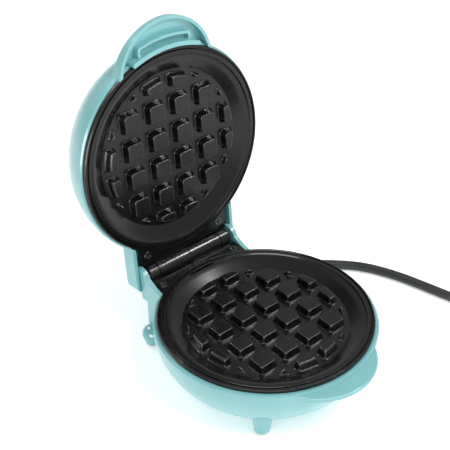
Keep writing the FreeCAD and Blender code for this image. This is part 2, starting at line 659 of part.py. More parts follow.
def plate(name, frame):
    """The cast plate: rim, sloped wall, pegs, tongue with knuckles, channel and bosses beneath."""
    body = new_body(name)
    rim = "-rim_gap / 2"
    # plateau that the channels divide into pegs
    peg_end = f"{floor_top} + peg_height"
    spread = "(peg_foot - peg_top) / 2"
    revolve(body, outline(new_sketch(body, "XZ_Plane"), [
        ("0", floor_top), (f"peg_field_r + {spread}", floor_top), ("peg_field_r", peg_end), ("0", peg_end)]))
    for role in ("XZ_Plane", "YZ_Plane"):
        middle = "-2 * peg_pitch"
        foot_half, top_half = "(peg_pitch - peg_foot) / 2", "(peg_pitch - peg_top) / 2"
        soft = "peg_edge"
        sketch = outline(new_sketch(body, role), [
            (f"{middle} - {foot_half}", floor_top), (f"{middle} + {foot_half}", floor_top),
            (f"{middle} + {top_half} - {soft} / 2", f"{peg_end} - {soft}"),
            (f"{middle} + {top_half} + {soft} / 2", peg_end), (f"{middle} + {top_half} + {soft} / 2", "1"),
            (f"{middle} - {top_half} - {soft} / 2", "1"), (f"{middle} - {top_half} - {soft} / 2", peg_end),
            (f"{middle} - {top_half} + {soft} / 2", f"{peg_end} - {soft}")])
        channel = pocket(body, sketch, "2 * plate_r", both=True)
        repeat(body, channel, sketch, "H_Axis", "4 * peg_pitch", 5)
    # the dish itself
    skirt_low = floor_under
    under = f"{rim} - flange"
    revolve(body, outline(new_sketch(body, "XZ_Plane"), [
        ("0", floor_under), ("floor_r + 1", floor_under), ("slope_r - 1", f"{rim} - 1 - floor_wall"),
        ("skirt_r - skirt_wall", f"{rim} - 1 - floor_wall"), ("skirt_r - skirt_wall", skirt_low),
        ("skirt_r", skirt_low), ("skirt_r", under), ("plate_r", under), ("plate_r", f"{rim} - groove / 2"),
        ("plate_r - groove / 2", rim), ("lip_in", rim), ("lip_in - groove / 2", f"{rim} - groove"),
        ("bead_out + groove / 2", f"{rim} - groove"), ("bead_out", rim), ("bead_in", rim),
        ("bead_in - groove / 2", f"{rim} - groove"), ("slope_r", f"{rim} - groove - 0.2"),
        ("floor_r", floor_top), ("0", floor_top)]))
    # under the floor: the element's channel
    ring_half = "element_r + element_fit + channel_wall"
    channel_low = f"{floor_under} - channel"
    bed = turned_body("channel", [
        (f"element_ring - {ring_half}", channel_low), (f"element_ring + {ring_half}", channel_low),
        (f"element_ring + {ring_half}", floor_under), (f"element_ring - {ring_half}", floor_under)])
    groove = doc.addObject("Part::Torus", "torus")
    groove.setExpression("Radius1", bound("element_ring"))
    groove.setExpression("Radius2", bound("element_r + element_fit"))
    place_at(groove, "0", "0", element_z)
    bosses = [cylinder("boss_r", boss_end, floor_under, x, y)
              for x, y in ring_spots("boss_ring", shield_angles + housing_angles)]
    control_bosses = [cylinder("screw_r + wall / 2", control_face, floor_under, x, "0")
                      for x in ("ear_boss_x", "-ear_boss_x")]
    # tongue and knuckles
    ear_top = f"{rim} - ear_drop"
    tongue = brick("-ear_half", "ear_half", "plate_r * 0.75", "ear_end", f"{ear_top} - ear_wall", ear_top)
    tongue = cut(tongue, cylinder("skirt_r - skirt_wall", "-flange - knuckle_r", "1"))
    long_left, long_right = "centre_gap / 2", "centre_gap / 2 + knuckle_long"
    short_left = f"-({long_right} + knuckle_gap + knuckle_short)"
    short_right = f"-({long_right} + knuckle_gap)"
    barrels, webs = [], []
    for left, right in ((long_left, long_right), (short_left, short_right)):
        barrels.append(rod("knuckle_r", left, right, "hinge_y", "0"))
        webs.append(brick(left, right, "ear_end - 1", "hinge_y", f"{ear_top} - web", ear_top))
    play = "pin_fit" if name.startswith("lower") else "pin_play"
    bore = rod(f"pin_r + {play}", "-box_half", "box_half", "hinge_y", "0")
    whole = fuse(body, bed, tongue, *bosses, *control_bosses, *barrels, *webs)
    ear_holes = [cylinder("screw_r + hole_play", f"{ear_top} - 2 * ear_wall", "1", x, y)
                 for x, y in both_sides("ear_screw_x", "ear_screw_y")]
    ear_wells = [cylinder("head_r + hole_play", f"{ear_top} - head_sunk", "1", x, y)
                 for x, y in both_sides("ear_screw_x", "ear_screw_y")]
    pilots = [cylinder("screw_r + screw_play", boss_end + " - 1", boss_end + " + pilot", x, y)
              for x, y in ring_spots("boss_ring", shield_angles + housing_angles)]
    control_pilots = [cylinder("small_screw_r + screw_play", control_face + " - 1", control_face + " + 2.4", x, y)
                      for x, y in both_sides("ear_boss_x", "0")]
    holes = cut(whole, groove, bore, *ear_holes, *ear_wells, *pilots, *control_pilots)
    finish_piece(holes, name, frame)


def screws(name, spots, seat, length, frame, up=True, shank="screw_r", head="head_r"):
    """Pan-head screws at the spots, heads on the seat's height. up: the head is on top."""
    parts = []
    for x, y in spots:
        if up:
            cap = cylinder(head, seat, f"{seat} + head", x, y)
            stem = cylinder(shank, f"{seat} - ({length})", seat, x, y)
            low, high = f"{seat} + head * 0.45", f"{seat} + head + 1"
        else:
            cap = cylinder(head, f"{seat} - head", seat, x, y)
            stem = cylinder(shank, seat, f"{seat} + {length}", x, y)
            low, high = f"{seat} - head - 1", f"{seat} - head * 0.45"
        slots = [brick(f"{x} - {long}", f"{x} + {long}", f"{y} - {wide}", f"{y} + {wide}", low, high)
                 for long, wide in ((f"{head} * 0.6", f"{head} * 0.13"), (f"{head} * 0.13", f"{head} * 0.6"))]
        parts.append(cut(fuse(cap, stem), *slots))
    finish_piece(group(*parts), name, frame)


def heating_element(name, pins_name, frame):
    """An open ring of sheathed tube whose two ends turn down, and the cold pins in them."""
    gap = "(360 - element_span) / 2"
    ring = doc.addObject("Part::Torus", "element")
    ring.setExpression("Radius1", bound("element_ring"))
    ring.setExpression("Radius2", bound("element_r"))
    ring.setExpression("Angle3", bound("element_span"))
    ring.Placement = turn(FreeCAD.Vector(0, 0, 1), 90 + amount(gap))
    place_at(ring, "0", "0", element_z)
    parts, pins = [ring], []
    for side in (1, -1):
        x = f"{side} * element_ring * sin({gap} * 1 deg)"
        y = f"element_ring * cos({gap} * 1 deg)"
        elbow = doc.addObject("Part::Sphere", "elbow")
        elbow.setExpression("Radius", bound("element_r"))
        place_at(elbow, x, y, element_z)
        leg_end = f"{element_z} - element_leg"
        parts += [elbow, cylinder("element_r", leg_end, element_z, x, y)]
        pins.append(cylinder("pin_wire_r", f"{leg_end} - pin_wire", leg_end, x, y))
    finish_piece(fuse(*parts), name, frame)
    finish_piece(group(*pins), pins_name, frame)


def heat_shield(name, frame):
    """A sheet dish that presses the element into its channel."""
    top = boss_end
    sheet_metal = turned_body(name, [
        ("shield_hole", f"{top} - shield_wall"), ("shield_r", f"{top} - shield_wall"),
        ("shield_r", f"{top} + shield_rim"), ("shield_r - shield_wall", f"{top} + shield_rim"),
        ("shield_r - shield_wall", top), ("shield_hole", top)])
    gap = "(360 - element_span) / 2"
    legs = [cylinder("element_r + hole_play", f"{top} - 2", f"{top} + 1",
                     f"{side} * element_ring * sin({gap} * 1 deg)", f"element_ring * cos({gap} * 1 deg)")
            for side in (1, -1)]
    bores = [cylinder("screw_r + hole_play", f"{top} - 2", f"{top} + 1", x, y)
             for x, y in ring_spots("boss_ring", shield_angles + housing_angles)]
    finish_piece(cut(sheet_metal, *legs, *bores), name, frame)


def controls():
    """Thermostat and thermal fuse on the underside of the base's plate."""
    low = f"{floor_under} - thermostat"
    finish_piece(cylinder("thermostat_r", low, floor_under), "thermostat", base_frame)
    blades = [brick(f"{x} - 3.1", f"{x} + 3.1", "-0.4", "0.4", f"{low} - blade", low) for x in ("4", "-4")]
    finish_piece(group(*blades), "thermostat_blades", base_frame)
    top, under = control_face, f"{control_face} - flange_sheet"
    tabs = brick("-(ear_boss_x + 3)", "ear_boss_x + 3", "-3", "3", under, top)
    bores = [cylinder("small_screw_r + hole_play", f"{under} - 1", f"{top} + 1", x, "0")
             for x in ("ear_boss_x", "-ear_boss_x")]
    ring = cylinder("thermostat_r + 1.4", under, top)
    body_hole = cylinder("thermostat_r + screw_play", f"{under} - 1", f"{top} + 1")
    finish_piece(cut(fuse(tabs, ring), body_hole, *bores), "thermostat_flange", base_frame)
    screws("thermostat_screws", both_sides("ear_boss_x", "0"), under, "flange_sheet + 2", base_frame,
           up=False, shank="small_screw_r", head="small_head_r")
    fuse_z = f"{floor_under} - fuse_r - sleeve - screw_play"
    body = rod("fuse_r", "-fuse / 2", "fuse / 2", "fuse_y", fuse_z)
    leads = rod("fuse_r / 4", "-(fuse / 2 + 7)", "fuse / 2 + 7", "fuse_y", fuse_z)
    finish_piece(fuse(body, leads), "thermal_fuse", base_frame)
    tube = cut(rod("fuse_r + sleeve", "-(fuse / 2 + 4)", "fuse / 2 + 4", "fuse_y", fuse_z),
               rod("fuse_r + screw_play", "-fuse", "fuse", "fuse_y", fuse_z))
    finish_piece(tube, "fuse_sleeve", base_frame)
    clip = brick("-2", "2", "fuse_y - fuse_r - sleeve - 0.8", "fuse_y + fuse_r + sleeve + 0.8",
                 f"{fuse_z} - fuse_r - sleeve - 0.7", floor_under)
    reach = "fuse_r + sleeve + screw_play"
    room = fuse(rod(reach, "-3", "3", "fuse_y", fuse_z),
                brick("-3", "3", f"fuse_y - ({reach})", f"fuse_y + {reach}", fuse_z, "1"))
    finish_piece(cut(clip, room), "fuse_clip", base_frame)


def hinge_parts():
    end = "centre_gap / 2 + knuckle_long + knuckle_gap + knuckle_short"
    shaft = rod("pin_r", f"-({end} + 1.5)", f"{end} + 0.3", "hinge_y", "0")
    head = rod("pin_r * 1.6", f"{end} + 0.3", f"{end} + 1.4", "hinge_y", "0")
    neck = cut(rod("pin_r + 1", f"-({end} + 0.9)", f"-({end} + 0.3)", "hinge_y", "0"),
               rod("pin_r * 0.75", f"-({end} + 1)", f"-{end}", "hinge_y", "0"))
    finish_piece(cut(fuse(shaft, head), neck), "hinge_pin", base_frame)
    clip = cut(rod("pin_r * 1.7", f"-({end} + 0.85)", f"-({end} + 0.35)", "hinge_y", "0"),
               rod("pin_r * 0.75 + 0.02", f"-({end} + 1)", f"-{end}", "hinge_y", "0"),
               brick(f"-({end} + 1)", f"-{end}", "hinge_y - pin_r * 0.6", "hinge_y + pin_r * 0.6",
                     "0", "2 * pin_r"))
    finish_piece(clip, "hinge_pin_clip", base_frame)


def foot_pads():
    pads = [cylinder("foot_tip_r", "-stand_height", pad_top, x, y) for x, y in foot_places]
    finish_piece(group(*pads), "foot_pads", base_frame)


def cord_entry():
    """Strain relief through the block's rear wall, the cord inside it, and the clamp on the anchor."""
    level = "-cord_exit"
    outer = "block_rear"
    inner = "block_rear - wall"
    taper = doc.addObject("Part::Cone", "taper")
    taper.setExpression("Radius1", bound("relief_root"))
    taper.setExpression("Radius2", bound("relief_tip"))
    taper.setExpression("Height", bound("relief"))
    taper.Placement = turn(X_AXIS, -90)
    place_at(taper, "0", outer, level)
    relief = fuse(taper, rod("relief_flange", outer, f"{outer} + relief_neck", "0", level, X_AXIS),
                  rod("relief_root - screw_play", inner, outer, "0", level, X_AXIS),
                  rod("relief_flange", f"{inner} - relief_neck", inner, "0", level, X_AXIS))
    ribs = [cut(rod("relief_root + 1", f"{outer} + {spot}", f"{outer} + {spot} + 1", "0", level, X_AXIS),
                rod("cord_r + 0.6", outer, f"{outer} + relief", "0", level, X_AXIS))
            for spot in (5, 8, 11, 14, 17)]
    bore = rod("cord_r + screw_play", f"{inner} - 5", f"{outer} + relief + 1", "0", level, X_AXIS)
    finish_piece(cut(relief, bore, *ribs), "strain_relief", base_frame)
    inner_cord = rod("cord_r", "anchor_front - 3", "cord_start", "0", level, X_AXIS)
    finish_piece(inner_cord, "inner_cord", base_frame)
    half = f"{level} - clamp_gap"
    clamp_top = f"{level} + cord_r + clamp"
    bar = cut(brick("-anchor_half", "anchor_half", "anchor_mid - 3", "anchor_mid + 3", half, clamp_top),
              rod("cord_r + screw_play", "anchor_mid - 4", "anchor_mid + 4", "0", level, X_AXIS),
              *[cylinder("screw_r + hole_play", f"{half} - 1", level + " + 9", x, y) for x, y in clamp_spots])
    finish_piece(bar, "cord_clamp", base_frame)
    screws("cord_clamp_screws", clamp_spots, clamp_top, "2 * cord_r + clamp + pilot - 1", base_frame)


def tube(points, radius):
    """A round lead along straight runs joined by tangent arcs; returns its solid and its bend radii."""
    spots = [FreeCAD.Vector(*point) for point in points]
    edges, radii, here = [], [], spots[0]
    for before, corner, after in zip(spots, spots[1:], spots[2:]):
        back, ahead = before - corner, after - corner
        short = min(back.Length, ahead.Length)
        half_turn = (math.pi - back.getAngle(ahead)) / 2
        trim = 0.45 * short
        radii.append(trim / math.tan(half_turn))
        back.normalize()
        ahead.normalize()
        start, end = corner + back * trim, corner + ahead * trim
        bisector = (back + ahead).normalize()
        depth = radii[-1] / math.cos(half_turn) - radii[-1]
        edges.append(Part.LineSegment(here, start).toShape())
        edges.append(Part.Arc(start, corner + bisector * depth, end).toShape())
        here = end
    edges.append(Part.LineSegment(here, spots[-1]).toShape())
    path = Part.Wire(edges)
    circle = Part.Circle(spots[0], spots[1] - spots[0], radius)
    solid = path.makePipeShell([Part.Wire(circle.toShape())], True, True)
    off = abs(solid.Volume / (math.pi * radius ** 2 * path.Length) - 1)
    if off > 0.01:
        raise RuntimeError(f"a lead's volume is off by {off:.1%}")
    return solid, radii, path.Length


def lead(name, points, radius, frame):
    solid, radii, length = tube(points, amount(radius))
    print(f"{name}: {length:.0f} mm long, bend radii", [round(bend) for bend in radii])
    piece = doc.addObject("Part::Feature", "lead")
    piece.Shape = solid
    finish_piece(piece, name, frame)


# The free cord, from inside the strain relief down to the table and round to the coil, then the
# short tail from the coil to the plug. These points are in the object's own frame, table at z = 0.
exit_z = amount("stand_height - cord_exit")
cord_points = [
    (0, 58, exit_z), (0, 82, exit_z), (9, 101, 9.5), (28, 107, 2.9), (46, 96, 2.9), (55, 76, 2.9),
    (61, 57, 2.9), (69.5, 41, 2.9), (81, 28, 2.9), (94, 17, 2.9), (106.5, 3.4, 2.9),
    (115.2, -15.1, 2.9), (120.7, -35.1, 2.9), (125.2, -54.1, 2.9), (131.5, -72, 2.9),
]
plug_lead_points = [(135.3, -90.0, 8.7), (135.3, -108.0, 8.7), (135.3, -124.0, 6.85)]


def cord():
    here = FreeCAD.Placement()
    lead("power_cord", cord_points, "cord_r", here)
    ring = cut(cylinder("coil_mid_r + 2 * cord_r", "0", "4 * cord_r", "coil_x", "coil_y"),
               cylinder("coil_mid_r - 2 * cord_r", "-1", "4 * cord_r + 1", "coil_x", "coil_y"))
    finish_piece(ring, "cord_coil", here)
    lead("plug_lead", plug_lead_points, "cord_r", here)
    x = "coil_x - coil_mid_r"
    front = "plug_rear - plug_long"
    shoulder = f"{front} + plug_long * 0.55"
    body = new_body("plug")
    solid = pad(body, outline(new_sketch(body), [
        (f"{x} - plug_half", front), (f"{x} + plug_half", front), (f"{x} + plug_half", shoulder),
        (f"{x} + plug_neck", "plug_rear"), (f"{x} - plug_neck", "plug_rear"),
        (f"{x} - plug_half", shoulder)]), "plug_thick")
    face = amount(front)
    round_edges(body, solid, "plug_round", lambda middle, edge: abs(middle.y - face) > 0.1)
    finish_piece(body, "plug_body", here)
    pins = []
    for side in (1, -1):
        pin_x = f"{x} + {side} * plug_spacing / 2"
        pin = rod("plug_pin_r", f"{front} - plug_pin", front, "0", "plug_thick / 2", X_AXIS, pin_x)
        pins.append(pin)
    finish_piece(group(*pins), "plug_pins", here)


def lamp():
    """Indicator lens in the lid's top, with its lamp and the lamp's holder behind it."""
    inside = "dome_height - wall"
    seat = f"{inside} - lens_flange"
    lens = fuse(cylinder("lens_r + lens_flange", seat, inside, "0", "lamp_y"),
                cylinder("lens_r", seat, "dome_height + lens_proud", "0", "lamp_y"))
    finish_piece(lens, "indicator_lens", lid_frame)
    bulb = cylinder("lamp_r", f"{seat} - 0.7 - lamp", f"{seat} - 0.7", "0", "lamp_y")
    finish_piece(bulb, "indicator_lamp", lid_frame)
    holder = cut(cylinder("lens_r + lens_flange", f"{seat} - 2 * lens_flange", seat, "0", "lamp_y"),
                 cylinder("lamp_r + screw_play", f"{seat} - 4", f"{seat} + 1", "0", "lamp_y"))
    finish_piece(holder, "lamp_holder", lid_frame)


def wiring():
    """Insulated leads inside the base and the lid; those that cross the hinge stop at its edge."""
    level = -amount("cord_exit")
    front = amount("anchor_front") - 3
    blade_z = amount(f"{floor_under} - thermostat - blade / 2")
    pin_x = amount("element_ring * sin((360 - element_span) / 2 * 1 deg)")
    pin_y = amount("element_ring * cos((360 - element_span) / 2 * 1 deg)")
    pin_z = amount(f"{element_z} - element_leg - pin_wire")
    fuse_y = amount("fuse_y")
    under_fuse = amount(f"{floor_under} - fuse_r * 1.25 - sleeve - screw_play - wire_r")
    lead("line_wire", [(1.3, front, level), (1.3, 36, level), (6, 22, level - 2), (6, 10, blade_z),
                       (4, 1.4, blade_z)], "wire_r", base_frame)
    lead("neutral_wire", [(-1.3, front - 0.1, level), (-1.3, 33, level - 0.5), (-8, 21, level - 5),
                          (-17, 23, level - 9), (-15, 32.5, level - 9.5), (-pin_x, pin_y - 0.5, pin_z - 1.1)],
         "wire_r", base_frame)
    lead("fuse_wire", [(-10.9, fuse_y - 2, under_fuse), (-10.9, fuse_y + 5.5, under_fuse), (-9, -7, -18),
                       (-4, -1.4, blade_z)], "wire_r", base_frame)
    lead("element_wire", [(10.9, fuse_y - 2, under_fuse), (10.9, fuse_y + 5.5, under_fuse), (9.5, -7, -18),
                          (13.5, 2, -24), (14, 17, -29), (13.5, 28, -31), (pin_x, pin_y - 0.5, pin_z - 1.1)],
         "wire_r", base_frame)
    for name, side in (("left_lid_lead", -1), ("right_lid_lead", 1)):
        points = [(side * pin_x, pin_y, -pin_z + 0.5), (side * pin_x, pin_y + 1.5, -pin_z + 5),
                  (side * (pin_x - 2), pin_y + 7, -pin_z + 4), (side * (pin_x - 4), pin_y + 12, -pin_z - 4)]
        lead(name, points, "wire_r", lid_frame)


lower_housing()
upper_housing()
plate("lower_plate", base_frame)
plate("upper_plate", lid_turned)
heating_element("lower_heating_element", "lower_element_pins", base_frame)
heating_element("upper_heating_element", "upper_element_pins", lid_turned)
heat_shield("lower_heat_shield", base_frame)
heat_shield("upper_heat_shield", lid_turned)
tongue_spots = both_sides("ear_screw_x", "ear_screw_y")
tongue_seat = "-(rim_gap / 2 + ear_drop + head_sunk)"
screws("lower_tongue_screws", tongue_spots, tongue_seat, "ear_screw", base_frame)
screws("upper_tongue_screws", tongue_spots, tongue_seat, "ear_screw", lid_turned)
shield_spots = ring_spots("boss_ring", shield_angles)
screws("lower_shield_screws", shield_spots, shield_under, "shield_screw", base_frame, up=False)
screws("upper_shield_screws", shield_spots, shield_under, "shield_screw", lid_turned, up=False)
screws("housing_screws", ring_spots("boss_ring", housing_angles), "counterbore - bowl_depth", "housing_screw",
       base_frame, up=False)
controls()
hinge_parts()
foot_pads()
cord_entry()
cord()
wiring()
lamp()
doc.recompute()


# ---- checks and files ------------------------------------------------------------------------

for item in doc.Objects:
    if "Invalid" in item.State or "Error" in item.State:
        raise RuntimeError(f"{item.Label} didn't build")
for item in doc.Objects:
    if item.TypeId in ("PartDesign::Pocket", "PartDesign::Chamfer", "PartDesign::Fillet"):
        change = item.BaseFeature.Shape.Volume - item.Shape.Volume
        if abs(change) < 0.05:
            raise RuntimeError(f"{item.Name} changes nothing")
    if item.TypeId == "Part::Cut":
        if item.Base.Shape.Volume - item.Shape.Volume < 0.05:
            raise RuntimeError(f"a cut in {item.Name} takes nothing away")
for piece in pieces:
    if piece.Shape.isNull() or not piece.Shape.isValid() or not piece.Shape.Solids:
        raise RuntimeError(f"{piece.Label} has no sound solid")

os.makedirs("parts", exist_ok=True)
for piece in pieces:
    piece.Shape.exportStep(f"parts/{piece.Label}.step")
    box = piece.Shape.optimalBoundingBox()
    ends = [round(end, 2) for end in (box.XMin, box.XMax, box.YMin, box.YMax, box.ZMin, box.ZMax)]
    print(piece.Label, len(piece.Shape.Solids), "solids,", round(piece.Shape.Volume), "mm3, box", ends)
print(len(pieces), "pieces written")
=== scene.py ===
import json
import math

import bmesh
import bpy
from mathutils import Matrix, Vector


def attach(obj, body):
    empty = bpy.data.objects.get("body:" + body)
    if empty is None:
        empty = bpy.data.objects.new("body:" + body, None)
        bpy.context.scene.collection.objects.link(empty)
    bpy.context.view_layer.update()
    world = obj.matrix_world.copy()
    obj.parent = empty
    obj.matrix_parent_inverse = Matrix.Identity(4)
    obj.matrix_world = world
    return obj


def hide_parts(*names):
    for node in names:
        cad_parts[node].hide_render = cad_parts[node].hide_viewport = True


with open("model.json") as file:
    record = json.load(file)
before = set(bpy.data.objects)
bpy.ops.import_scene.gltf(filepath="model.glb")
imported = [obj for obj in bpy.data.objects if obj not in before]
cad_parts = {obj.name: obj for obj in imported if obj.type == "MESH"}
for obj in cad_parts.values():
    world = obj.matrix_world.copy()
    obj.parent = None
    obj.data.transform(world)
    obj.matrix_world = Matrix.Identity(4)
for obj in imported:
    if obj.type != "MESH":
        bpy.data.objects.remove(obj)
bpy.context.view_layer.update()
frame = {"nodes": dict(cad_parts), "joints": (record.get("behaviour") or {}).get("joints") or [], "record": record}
print("frame loaded:", len(frame["nodes"]), "nodes")

nodes = frame["nodes"]
collection = bpy.context.scene.collection


def linear(red, green, blue):
    # screen values from 0 to 255, to the linear colour that a shader takes
    def one(value):
        value /= 255
        return value / 12.92 if value <= 0.04045 else ((value + 0.055) / 1.055) ** 2.4
    return (one(red), one(green), one(blue), 1.0)


# what every finish has unless its own look says otherwise: depth is in metres, and a range says
# between which values of its pattern the change happens
plainLook = {"driftScale": 60, "driftDetail": 5, "driftRange": (0.3, 0.7), "fleckRange": (0.12, 0.3),
             # the pale and oil ranges and the oil shade set where painted highlight and painted shade fall, by
             # pointiness
             "highlightRange": (0.52, 0.6), "hollowShadeRange": (0.42, 0.49), "hollowShade": 0.3,
             "smearScale": 140, "smearDetail": 4, "uneven": 0.04,
             "grainScale": 1800, "grainDetail": 3, "grainStretch": (1, 1, 1), "grainStrength": 0.25,
             "grainDepth": 0.00003, "metal": 0, "specular": 0.5, "coat": 0, "coatRoughness": 0.05,
             "transmission": 0}


def noise(tree, place, scale, detail):
    pattern = tree.nodes.new("ShaderNodeTexNoise")
    pattern.inputs["Scale"].default_value = scale
    pattern.inputs["Detail"].default_value = detail
    tree.links.new(place, pattern.inputs["Vector"])
    return pattern.outputs["Fac"]


def ramp(tree, value, positions, colours):
    fade = tree.nodes.new("ShaderNodeValToRGB")
    for stop, position, colour in zip(fade.color_ramp.elements, positions, colours):
        stop.position = position
        stop.color = colour
    tree.links.new(value, fade.inputs["Fac"])
    return fade.outputs["Color"]


def spread(tree, value, found, wanted):
    # maps one range onto another
    mapping = tree.nodes.new("ShaderNodeMapRange")
    for socket, limit in zip(("From Min", "From Max", "To Min", "To Max"), found + wanted):
        mapping.inputs[socket].default_value = limit
    tree.links.new(value, mapping.inputs["Value"])
    return mapping.outputs["Result"]


def flecked(tree, place, colour, look):
    # small paler specks, as in a sprayed coating
    cells = tree.nodes.new("ShaderNodeTexVoronoi")
    cells.inputs["Scale"].default_value = look["fleckScale"]
    tree.links.new(place, cells.inputs["Vector"])
    centre = (look["fleckMix"],) * 3 + (1,)
    amount = ramp(tree, cells.outputs["Distance"], look["fleckRange"], (centre, (0, 0, 0, 1)))
    mix = tree.nodes.new("ShaderNodeMixRGB")
    tree.links.new(amount, mix.inputs["Fac"])
    tree.links.new(colour, mix.inputs["Color1"])
    mix.inputs["Color2"].default_value = look["fleck"]
    return mix.outputs["Color"]


def paintedEdgeLight(tree, colour, look):
    # painted highlight: sharp edges are made paler; painted shade: hollows and inner corners are made darker
    edge = tree.nodes.new("ShaderNodeNewGeometry").outputs["Pointiness"]
    highlight = tree.nodes.new("ShaderNodeMixRGB")
    tree.links.new(spread(tree, edge, look["highlightRange"], (0, 1)), highlight.inputs["Fac"])
    tree.links.new(colour, highlight.inputs["Color1"])
    highlight.inputs["Color2"].default_value = look["edgeHighlight"]
    shade = tree.nodes.new("ShaderNodeMixRGB")
    shade.blend_type = "MULTIPLY"
    shade.inputs["Fac"].default_value = 1
    tree.links.new(highlight.outputs["Color"], shade.inputs["Color1"])
    tree.links.new(spread(tree, edge, look["hollowShadeRange"], (look["hollowShade"], 1)), shade.inputs["Color2"])
    return shade.outputs["Color"]


def surface(name, own):
    # colour drifts between two close shades, roughness drifts too, and a fine grain bumps the surface
    look = {**plainLook, **own}
    material = bpy.data.materials.new(name)
    material.use_nodes = True
    tree = material.node_tree
    shader = tree.nodes["Principled BSDF"]
    place = tree.nodes.new("ShaderNodeTexCoord").outputs["Object"]

    drift = noise(tree, place, look["driftScale"], look["driftDetail"])
    colour = ramp(tree, drift, look["driftRange"], (look["deep"], look["light"]))
    if "fleck" in look:
        colour = flecked(tree, place, colour, look)
    # painted highlight on sharp edges and painted shade in hollows, from the surface's pointiness
    if "edgeHighlight" in look:
        colour = paintedEdgeLight(tree, colour, look)
    tree.links.new(colour, shader.inputs["Base Color"])

    smear = noise(tree, place, look["smearScale"], look["smearDetail"])
    gloss = (look["roughness"] - look["uneven"], look["roughness"] + look["uneven"])
    tree.links.new(spread(tree, smear, (0, 1), gloss), shader.inputs["Roughness"])

    stretch = tree.nodes.new("ShaderNodeMapping")
    stretch.inputs["Scale"].default_value = look["grainStretch"]
    tree.links.new(place, stretch.inputs["Vector"])
    bump = tree.nodes.new("ShaderNodeBump")
    bump.inputs["Strength"].default_value = look["grainStrength"]
    bump.inputs["Distance"].default_value = look["grainDepth"]
    grain = noise(tree, stretch.outputs["Vector"], look["grainScale"], look["grainDetail"])
    tree.links.new(grain, bump.inputs["Height"])
    tree.links.new(bump.outputs["Normal"], shader.inputs["Normal"])

    shader.inputs["Metallic"].default_value = look["metal"]
    shader.inputs["Specular IOR Level"].default_value = look["specular"]
    shader.inputs["Coat Weight"].default_value = look["coat"]
    shader.inputs["Coat Roughness"].default_value = look["coatRoughness"]
    shader.inputs["Transmission Weight"].default_value = look["transmission"]
    return material


shellLook = {"deep": linear(122, 184, 188), "light": linear(128, 190, 194), "roughness": 0.26,
             "uneven": 0.03, "grainScale": 900, "grainDepth": 0.00002, "grainStrength": 0.12,
             "coat": 0.45, "coatRoughness": 0.1, "driftScale": 35}
coatingLook = {"deep": linear(9, 9, 10), "light": linear(14, 14, 15), "roughness": 0.27, "uneven": 0.05,
               "grainScale": 2600, "fleck": linear(46, 46, 48), "fleckMix": 0.3, "fleckScale": 1700,
               "driftScale": 90, "specular": 0.26, "coat": 0.18, "coatRoughness": 0.12}
# the pegs' coating carries painted highlights on its edges and painted shade in its hollows
pegLook = dict(coatingLook, edgeHighlight=linear(96, 96, 98))
cordLook = {"deep": linear(22, 22, 23), "light": linear(27, 27, 28), "roughness": 0.42, "uneven": 0.05,
            "grainScale": 1500, "grainDepth": 0.00004}
rubberLook = {"deep": linear(24, 24, 25), "light": linear(33, 33, 34), "roughness": 0.7, "uneven": 0.08,
              "grainScale": 2200, "grainDepth": 0.00006, "grainStrength": 0.5}
plugLook = {"deep": linear(20, 20, 21), "light": linear(26, 26, 27), "roughness": 0.38, "uneven": 0.06,
            "grainScale": 1300, "grainDepth": 0.00005, "grainStrength": 0.4}
steelLook = {"deep": linear(150, 150, 150), "light": linear(185, 185, 183), "roughness": 0.3,
             "uneven": 0.1, "metal": 1, "grainScale": 900, "grainStretch": (1, 1, 14),
             "grainStrength": 0.4}
darkScrewLook = {"deep": linear(70, 70, 73), "light": linear(98, 98, 101), "roughness": 0.28,
                 "uneven": 0.08, "metal": 1, "grainScale": 1600, "grainStrength": 0.4}
elementLook = {"deep": linear(72, 74, 66), "light": linear(104, 103, 96), "roughness": 0.5,
               "uneven": 0.12, "metal": 1, "grainScale": 1400, "grainDepth": 0.00004, "driftScale": 150}
sheetLook = {"deep": linear(178, 179, 181), "light": linear(205, 205, 206), "roughness": 0.32,
             "uneven": 0.1, "metal": 1, "grainScale": 700, "grainStretch": (1, 18, 1)}
brassLook = {"deep": linear(170, 132, 66), "light": linear(205, 166, 92), "roughness": 0.3,
             "uneven": 0.08, "metal": 1, "grainScale": 1500}
phenolicLook = {"deep": linear(30, 28, 27), "light": linear(44, 41, 39), "roughness": 0.55,
                "uneven": 0.08, "fleck": linear(86, 78, 70), "fleckMix": 0.25, "fleckScale": 2200,
                "grainDepth": 0.00005}
sleeveLook = {"deep": linear(196, 190, 170), "light": linear(228, 224, 208), "roughness": 0.8,
              "uneven": 0.05, "grainScale": 2400, "grainStretch": (1, 6, 1), "grainDepth": 0.0001,
              "grainStrength": 0.8}
wireLook = {"deep": linear(214, 214, 208), "light": linear(232, 232, 228), "roughness": 0.5,
            "uneven": 0.05}
lensLook = {"deep": linear(176, 34, 26), "light": linear(206, 52, 38), "roughness": 0.1, "uneven": 0.02,
            "transmission": 0.55, "grainDepth": 0.00001, "driftScale": 200}
lampLook = {"deep": linear(226, 196, 168), "light": linear(240, 220, 200), "roughness": 0.08,
            "uneven": 0.02, "transmission": 0.8, "grainDepth": 0.00001}

finishes = {
    "mint_shell": surface("mintShell", shellLook),
    "coated_plate": surface("blackCoating", coatingLook),
    "cord_black": surface("cordSheath", cordLook),
    "foot_rubber": surface("footRubber", rubberLook),
    "plug_black": surface("plugBody", plugLook),
    "zinc_screw": surface("zincScrew", steelLook),
    "pin_steel": surface("plainSteel", steelLook),
    "element_steel": surface("elementTube", elementLook),
    "shield_sheet": surface("shieldSheet", sheetLook),
    "terminal_brass": surface("terminalBrass", brassLook),
    "control_body": surface("phenolic", phenolicLook),
    "glass_sleeve": surface("glassSleeve", sleeveLook),
    "wire_white": surface("siliconeWire", wireLook),
    "lens_clear": surface("lensPlastic", lensLook),
    "lamp_glass": surface("lampGlass", lampLook),
}
darkScrew = surface("darkScrew", darkScrewLook)
pegCoating = surface("pegCoating", pegLook)

